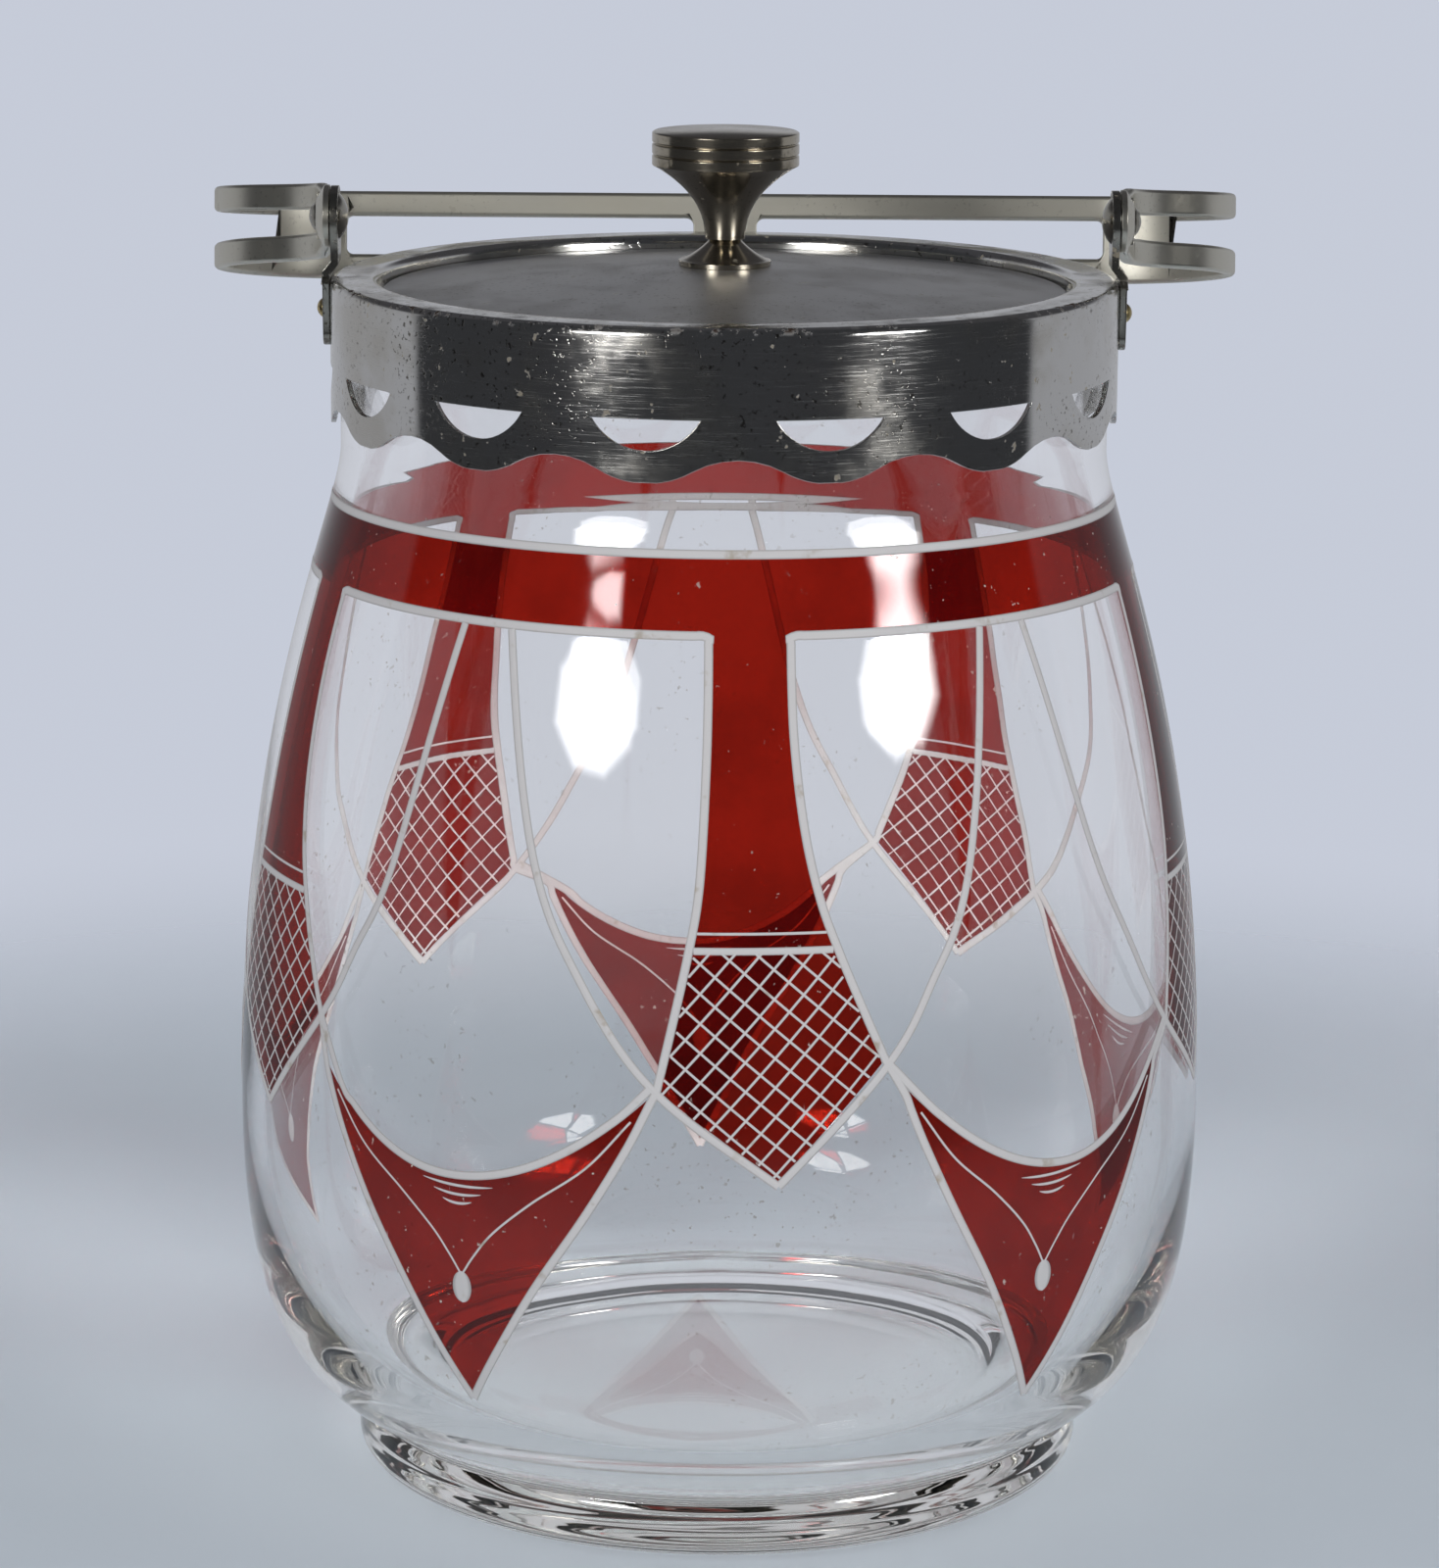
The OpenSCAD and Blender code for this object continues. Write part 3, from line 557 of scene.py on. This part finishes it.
def make_engraving(material):
    """The frosted lines that are cut along the stain and through it."""
    layer = Layer()
    out = BORDER_W / 2
    thin_behind = np.interp(np.abs(AROUND - 180), THIN_WITHIN, (THIN_SHARE, 1.0))
    layer.line(np.c_[AROUND, band_top(AROUND) + out * thin_behind], BORDER_W * thin_behind)

    tip = (TIE_TIP[0], TIE_TIP[1] - out)
    on_tie = [(curve_through(points + [tip]), BORDER_W) for points in (PANEL_LEFT, PANEL_RIGHT)]
    for height, width in ((BAR_Z, BAR_W), (PINSTRIPE_Z, PINSTRIPE_W)):
        on_tie.append((np.c_[np.linspace(*tie_span(height), 24), np.full(24, height)], width))
    on_tie += [(points, HATCH_W) for points in hatch_lines()]

    share = np.linspace(-1, 1, 25)
    drop = np.c_[np.zeros(25), DROP_Z + share * DROP_H / 2]
    tie_left, tie_right = beside(TIE_LEFT_EDGE, -out)[::2], beside(TIE_RIGHT_EDGE, out)[::2]
    for i, (_, tip_z, left, right, lowest) in enumerate(PENDANTS):
        for points, width in on_tie:
            layer.line(turned(points, TIE_AT[i]), width)

        on_pendant = [(pendant_line(STRAND, corner, STRAND_LOW), STRAND_W) for corner in (left, right)]
        on_pendant.append((drop, DROP_W * np.sqrt(1.001 - share**2)))
        for half, height in STROKES:
            stroke = np.c_[share * half + lowest / 4, height - STROKE_SAG * (1 - share**2)]
            on_pendant.append((stroke, STROKE_W * (1 - 0.8 * np.abs(share) ** 3)))
        for points, width in on_pendant:
            layer.line(turned(points, PENDANT_AT[i]), width)

        spread = np.linspace(left[0], right[0], 61)[3:-3:3]
        sag = beside(np.c_[spread, pendant_arc(spread, left, right, lowest)], out)
        layer.line(curve_through(np.vstack([turned(PANEL_RIGHT[-1:], TIE_AT[i]), turned(sag, PENDANT_AT[i]),
                                            turned(PANEL_LEFT[-1:], TIE_AT[i + 1])])), BORDER_W)
        tip = [(0, tip_z - 2 * out)]
        left_side, right_side = (
            turned(np.vstack([beside(pendant_line(PENDANT_SIDE, corner, tip_z), way * out)[:-2:4], tip]),
                   PENDANT_AT[i]) for corner, way in ((left, -1), (right, 1)))
        band = np.linspace(TIE_AT[i] + TIE_RIGHT[0][0] + 1, TIE_AT[i + 1] + TIE_LEFT[0][0] - 1, 60)
        panel = np.vstack([left_side[::-1], turned(tie_right, TIE_AT[i])[::-1],
                           np.c_[band, np.full(60, BAND_LOW - out)],
                           turned(tie_left, TIE_AT[i + 1]), right_side])
        layer.line(curve_through(panel), BORDER_W)
    link_mesh("engraved_lines", layer.vertices, layer.faces, material, False, layer.middle)


# Materials

def clear_glass():
    """Clear glass with a faint grey cast and a few specks. Lamps shine through it."""
    material, tree, output, place = new_material("clear_glass")
    specks = remap(tree, grain(tree, place, 900.0, 2.0), 0.68, 0.72)
    patches = remap(tree, grain(tree, place, 28.0, 2.0), 0.48, 0.66)
    dirt = calc(tree, "MULTIPLY", specks, patches)
    colour = mix_colour(tree, dirt, (1, 1, 1, 1), (0.55, 0.50, 0.44, 1))
    glass = add_node(tree, "ShaderNodeBsdfPrincipled", {
        "Base Color": colour, "Roughness": 0.0, "IOR": 1.5, "Transmission Weight": 1.0,
    }).outputs[0]
    lets_through = add_node(tree, "ShaderNodeBsdfTransparent", {"Color": (0.97, 0.975, 0.98, 1)}).outputs[0]
    shadow = tree.nodes.new("ShaderNodeLightPath").outputs["Is Shadow Ray"]
    tree.links.new(mix_shader(tree, shadow, glass, lets_through), output.inputs["Surface"])
    cast = add_node(tree, "ShaderNodeVolumeAbsorption", {"Color": (0.52, 0.46, 0.30, 1), "Density": 4.0})
    tree.links.new(cast.outputs[0], output.inputs["Volume"])
    return material


def ruby_stain():
    """Transparent ruby film with a polished face, fine scratches and small worn spots."""
    material, tree, output, place = new_material("ruby_stain")
    cloud = remap(tree, grain(tree, place, 60.0), 0.35, 0.65)
    red = mix_colour(tree, cloud, (0.33, 0.011, 0.004, 1), (0.42, 0.014, 0.005, 1))
    fine = grain(tree, stretched(tree, place, (1500.0, 1500.0, 260.0)), 1.0, 2.0)
    worn = calc(tree, "MULTIPLY", remap(tree, fine, 0.72, 0.76),
                remap(tree, grain(tree, place, 90.0), 0.55, 0.62))
    colour = mix_colour(tree, worn, red, (0.80, 0.55, 0.52, 1))
    facing = add_node(tree, "ShaderNodeLayerWeight", {"Blend": 0.5}).outputs["Facing"]
    colour = mix_colour(tree, remap(tree, facing, 0.2, 0.9), colour, (0.20, 0.005, 0.002, 1))
    film = add_node(tree, "ShaderNodeBsdfTransparent", {"Color": colour}).outputs[0]
    gloss = add_node(tree, "ShaderNodeBsdfGlossy", {"Color": (1, 1, 1, 1), "Roughness": 0.03}).outputs[0]
    sheen = remap(tree, calc(tree, "POWER", facing, 5.0), 0.0, 1.0, 0.04, 0.9)
    outside = calc(tree, "SUBTRACT", 1.0, tree.nodes.new("ShaderNodeNewGeometry").outputs["Backfacing"])
    glossy = mix_shader(tree, calc(tree, "MULTIPLY", sheen, outside), film, gloss)
    dust = add_node(tree, "ShaderNodeBsdfDiffuse", {"Color": (0.55, 0.50, 0.45, 1)}).outputs[0]
    behind = add_node(tree, "ShaderNodeSeparateXYZ", {0: place}).outputs["Y"]
    fewer = remap(tree, behind, 0.0, 0.04, 0.06, 0.03)
    specks = remap(tree, calc(tree, "SUBTRACT", grain(tree, place, 800.0, 3.0, 0.6), fewer), 0.62, 0.66)
    patches = remap(tree, grain(tree, place, 55.0, 3.0), 0.46, 0.64)
    dusty = calc(tree, "MULTIPLY", specks, patches)
    tree.links.new(mix_shader(tree, dusty, glossy, dust), output.inputs["Surface"])
    return material


def frosted_cut():
    """Ground glass of the engraved lines, painted darker at their edges as painted shade of the cut's
    sloping sides, with brown dirt lodged in places.
    """
    material, tree, output, place = new_material("frosted_cut")
    dirt = remap(tree, grain(tree, place, 240.0, 4.0), 0.60, 0.75)
    # Painted shade: the colour goes from dark grey at a line's edges to pale along its middle, in place of
    # the shade on the sides of the cut.
    middle = add_node(tree, "ShaderNodeAttribute", attribute_name="middle").outputs["Fac"]
    colour = mix_colour(tree, remap(tree, middle, 0.05, 0.45),
                        (0.37, 0.355, 0.35, 1), (0.58, 0.565, 0.56, 1))
    colour = mix_colour(tree, dirt, colour, (0.38, 0.33, 0.27, 1))
    bump = add_node(tree, "ShaderNodeBump", {
        "Strength": 0.4, "Distance": 0.0001, "Height": grain(tree, place, 2600.0, 2.0)})
    ground = add_node(tree, "ShaderNodeBsdfPrincipled", {
        "Base Color": colour, "Roughness": 0.6, "IOR": 1.5, "Normal": bump.outputs[0]})
    tree.links.new(ground.outputs[0], output.inputs["Surface"])
    return material


def worn_metal(name, colour, tarnish, roughness, wear, streak, drawn=0.0, rust=None, dull=None):
    """Plated metal with tarnish clouds, pits and fine scratches. wear is how much of them there is, streak
    scales the coordinates of the scratches, drawn is the anisotropy of marks that run level round the piece,
    rust is a height in metres above which brown specks break through the plating, and dull is a distance
    behind the jar's axis from which hands have rubbed the metal matte."""
    material, tree, output, place = new_material(name)
    cloud = remap(tree, grain(tree, place, 70.0, 4.0, 0.6), 0.40, 0.68)
    base = mix_colour(tree, calc(tree, "MULTIPLY", cloud, wear), colour, tarnish)
    pitted = remap(tree, grain(tree, place, 42.0), 0.38, 0.54)
    pits = remap(tree, grain(tree, place, 1300.0, 3.0, 0.6), 0.60, 0.66)
    pits = calc(tree, "MULTIPLY", calc(tree, "MULTIPLY", pits, pitted), 1.5 * wear, clamp=True)
    base = mix_colour(tree, pits, base, (0.075, 0.063, 0.045, 1))
    crusts = remap(tree, grain(tree, place, 480.0, 3.0, 0.5), 0.68, 0.71)
    crusts = calc(tree, "MULTIPLY", crusts, 1.5 * wear, clamp=True)
    base = mix_colour(tree, crusts, base, (0.24, 0.205, 0.145, 1))
    spots = calc(tree, "MAXIMUM", pits, crusts)
    fine = grain(tree, stretched(tree, place, streak), 1.0, 3.0, 0.6)
    rough = calc(tree, "ADD", remap(tree, cloud, 0.0, 1.0, roughness, roughness + 0.2 * wear),
                 remap(tree, fine, 0.50, 0.75, 0.0, 0.28 * wear))
    if dull is not None:
        behind = add_node(tree, "ShaderNodeSeparateXYZ", {0: place}).outputs["Y"]
        rough = calc(tree, "ADD", rough, remap(tree, behind, dull, dull + 0.012, 0.0, 0.14))
    metallic = calc(tree, "SUBTRACT", 1.0, calc(tree, "MULTIPLY", crusts, 0.9))
    if rust is not None:
        height = add_node(tree, "ShaderNodeSeparateXYZ", {0: place}).outputs["Z"]
        axis_away = add_node(tree, "ShaderNodeVectorMath", {0: stretched(tree, place, (1.0, 1.0, 0.0))},
                             operation="LENGTH").outputs["Value"]
        edge = calc(tree, "MULTIPLY", remap(tree, height, rust, rust + 0.0008),
                    remap(tree, axis_away, RUST_FROM_R, RUST_FROM_R + 0.0004))
        specks = remap(tree, grain(tree, place, 520.0, 4.0, 0.65), 0.54, 0.60)
        broken = remap(tree, grain(tree, place, 42.0), 0.42, 0.52)
        specks = calc(tree, "MULTIPLY", edge, calc(tree, "MULTIPLY", specks, broken))
        base = mix_colour(tree, specks, base, (0.030, 0.014, 0.007, 1))
        rough = calc(tree, "MAXIMUM", rough, calc(tree, "MULTIPLY", specks, 0.85))
        metallic = calc(tree, "SUBTRACT", metallic, calc(tree, "MULTIPLY", specks, 0.9), clamp=True)
    relief = calc(tree, "SUBTRACT", calc(tree, "MULTIPLY", fine, 0.2), spots)
    bump = add_node(tree, "ShaderNodeBump", {"Strength": 0.25, "Distance": 0.00005, "Height": relief})
    metal = add_node(tree, "ShaderNodeBsdfPrincipled", {
        "Base Color": base, "Metallic": metallic, "Roughness": rough, "Normal": bump.outputs[0]})
    if drawn:
        normal = tree.nodes.new("ShaderNodeNewGeometry").outputs["Normal"]
        level = add_node(tree, "ShaderNodeVectorMath", {0: normal, 1: (0.04, 0.06, 1.0)},
                         operation="CROSS_PRODUCT")
        metal.inputs["Anisotropic"].default_value = drawn
        metal.inputs["Anisotropic Rotation"].default_value = 0.25
        tree.links.new(level.outputs[0], metal.inputs["Tangent"])
    tree.links.new(metal.outputs[0], output.inputs["Surface"])
    return material


def plaster():
    """Matte, slightly mottled and rough plaster."""
    material, tree, output, place = new_material("plaster")
    colour = mix_colour(tree, grain(tree, place, 220.0), (0.74, 0.70, 0.62, 1), (0.84, 0.81, 0.74, 1))
    bump = add_node(tree, "ShaderNodeBump", {
        "Strength": 0.5, "Distance": 0.0003, "Height": grain(tree, place, 900.0)})
    matte = add_node(tree, "ShaderNodeBsdfPrincipled", {
        "Base Color": colour, "Roughness": 0.9, "Normal": bump.outputs[0]})
    tree.links.new(matte.outputs[0], output.inputs["Surface"])
    return material


# CAD metal

def weld_and_shade():
    """Modifier tree that joins a CAD mesh's faces at their seams, shades it smooth up to its sharp edges and
    gives these a bevel weight, which is smaller near the bail's pivots. Slot ends is the share of it that
    upright and hollow edges get."""
    tree = bpy.data.node_groups.new("weld_and_shade", "GeometryNodeTree")
    tree.interface.new_socket("Geometry", in_out="INPUT", socket_type="NodeSocketGeometry")
    tree.interface.new_socket("Slot ends", in_out="INPUT", socket_type="NodeSocketFloat")
    tree.interface.new_socket("Geometry", in_out="OUTPUT", socket_type="NodeSocketGeometry")
    mesh, slot_ends = tree.nodes.new("NodeGroupInput").outputs[:2]
    mesh = add_node(tree, "GeometryNodeMergeByDistance",
                    {"Geometry": mesh, "Distance": WELD_WITHIN}).outputs[0]
    mesh = add_node(tree, "GeometryNodeRemoveAttribute",
                    {"Geometry": mesh, "Name": "custom_normal"}).outputs[0]
    mesh = add_node(tree, "GeometryNodeSetShadeSmooth", {"Geometry": mesh, "Shade Smooth": True}).outputs[0]
    angle, signed = tree.nodes.new("GeometryNodeInputMeshEdgeAngle").outputs
    gentle = add_node(tree, "FunctionNodeCompare", {0: angle, 1: math.radians(SHARP_ANGLE)},
                      data_type="FLOAT", operation="LESS_THAN").outputs[0]
    mesh = add_node(tree, "GeometryNodeSetShadeSmooth", {"Geometry": mesh, "Shade Smooth": gentle},
                    domain="EDGE").outputs[0]
    place = tree.nodes.new("GeometryNodeInputPosition").outputs[0]
    place = add_node(tree, "ShaderNodeVectorMath", {0: place}, operation="ABSOLUTE").outputs[0]
    away = add_node(tree, "ShaderNodeVectorMath", {0: place, 1: PIVOT},
                    operation="DISTANCE").outputs["Value"]
    weight = calc(tree, "MULTIPLY", remap(tree, away, *PIVOT_NEAR, PIVOT_SHARE, 1.0),
                  calc(tree, "SUBTRACT", 1.0, gentle))
    ends = tree.nodes.new("GeometryNodeInputMeshEdgeVertices").outputs
    run = add_node(tree, "ShaderNodeVectorMath", {0: ends["Position 1"], 1: ends["Position 2"]},
                   operation="SUBTRACT").outputs[0]
    run = add_node(tree, "ShaderNodeVectorMath", {0: run}, operation="NORMALIZE").outputs[0]
    rise = calc(tree, "ABSOLUTE", add_node(tree, "ShaderNodeSeparateXYZ", {0: run}).outputs["Z"])
    weight = calc(tree, "MULTIPLY", weight, remap(tree, rise, *UPRIGHT_RUN, 1.0, slot_ends))
    weight = calc(tree, "MULTIPLY", weight, remap(tree, signed, -0.1, 0.0, slot_ends, 1.0))
    mesh = add_node(tree, "GeometryNodeStoreNamedAttribute",
                    {"Geometry": mesh, "Name": "bevel_weight_edge", "Value": weight},
                    data_type="FLOAT", domain="EDGE").outputs[0]
    add_node(tree, "NodeGroupOutput", {0: mesh})
    return tree


def dress(material, edge_mm, *nodes, slot_ends=1.0):
    """Gives CAD nodes their material and rounds their sharp edges by so many mm. slot_ends is the share of
    that at upright and hollow edges, as at the ends of slots."""
    for name in nodes:
        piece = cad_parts[name]
        for slot in piece.material_slots:
            slot.material = material
        weld = piece.modifiers.new("weld", "NODES")
        weld.node_group = WELD
        weld[WELD.interface.items_tree["Slot ends"].identifier] = slot_ends
        flat = piece.modifiers.new("flat", "DECIMATE")
        flat.decimate_type = "DISSOLVE"
        flat.angle_limit = math.radians(FLAT_ANGLE)
        edge = piece.modifiers.new("edge", "BEVEL")
        edge.width = edge_mm * MM
        edge.segments = EDGE_SEGMENTS
        edge.limit_method = "WEIGHT"
        edge.use_clamp_overlap = False
        edge.harden_normals = True


make_camera()
make_world()
make_lamps()
make_floor()

make_glass(clear_glass())
make_stain(ruby_stain())
make_engraving(frosted_cut())

WELD = weld_and_shade()
dress(plaster(), 0.05, "plaster_bed")
dress(worn_metal("collar_nickel", (0.59, 0.585, 0.57, 1), (0.42, 0.39, 0.33, 1), 0.09, 0.55,
                 (150.0, 150.0, 9000.0), 0.8, rust=RUST_FROM_Z), 0.12, "collar")
dress(worn_metal("lid_nickel", (0.56, 0.555, 0.55, 1), (0.43, 0.415, 0.39, 1), 0.38, 0.3,
                 (160.0, 160.0, 160.0)), 0.2, "lid")
dress(worn_metal("bail_nickel", (0.58, 0.56, 0.49, 1), (0.42, 0.38, 0.28, 1), 0.30, 0.15,
                 (60.0, 700.0, 700.0), dull=BAIL_DULL_FROM), 0.7, "bail", slot_ends=0.25)
dress(worn_metal("knob_nickel", (0.43, 0.39, 0.32, 1), (0.32, 0.27, 0.175, 1), 0.15, 0.25,
                 (200.0, 200.0, 1500.0)), 0.12, "knob", "knob_base")
dress(worn_metal("ear_nickel", (0.32, 0.31, 0.28, 1), (0.20, 0.18, 0.135, 1), 0.18, 0.5,
                 (300.0, 300.0, 300.0)), 0.2, "left_ear", "right_ear")
dress(worn_metal("rivet_nickel", (0.34, 0.325, 0.285, 1), (0.22, 0.195, 0.14, 1), 0.14, 0.3,
                 (300.0, 300.0, 300.0)), 0.1, "left_pivot_rivet", "right_pivot_rivet", "knob_washer")
dress(worn_metal("brass", (0.56, 0.44, 0.22, 1), (0.30, 0.27, 0.14, 1), 0.28, 0.6,
                 (400.0, 400.0, 400.0)), 0.1, "left_ear_rivet", "right_ear_rivet", "knob_screw")

scene = bpy.context.scene
scene.view_settings.view_transform = "Standard"
scene.cycles.max_bounces = LIGHT_BOUNCES
scene.cycles.glossy_bounces = LIGHT_BOUNCES
scene.cycles.transmission_bounces = LIGHT_BOUNCES
scene.cycles.transparent_max_bounces = LIGHT_BOUNCES
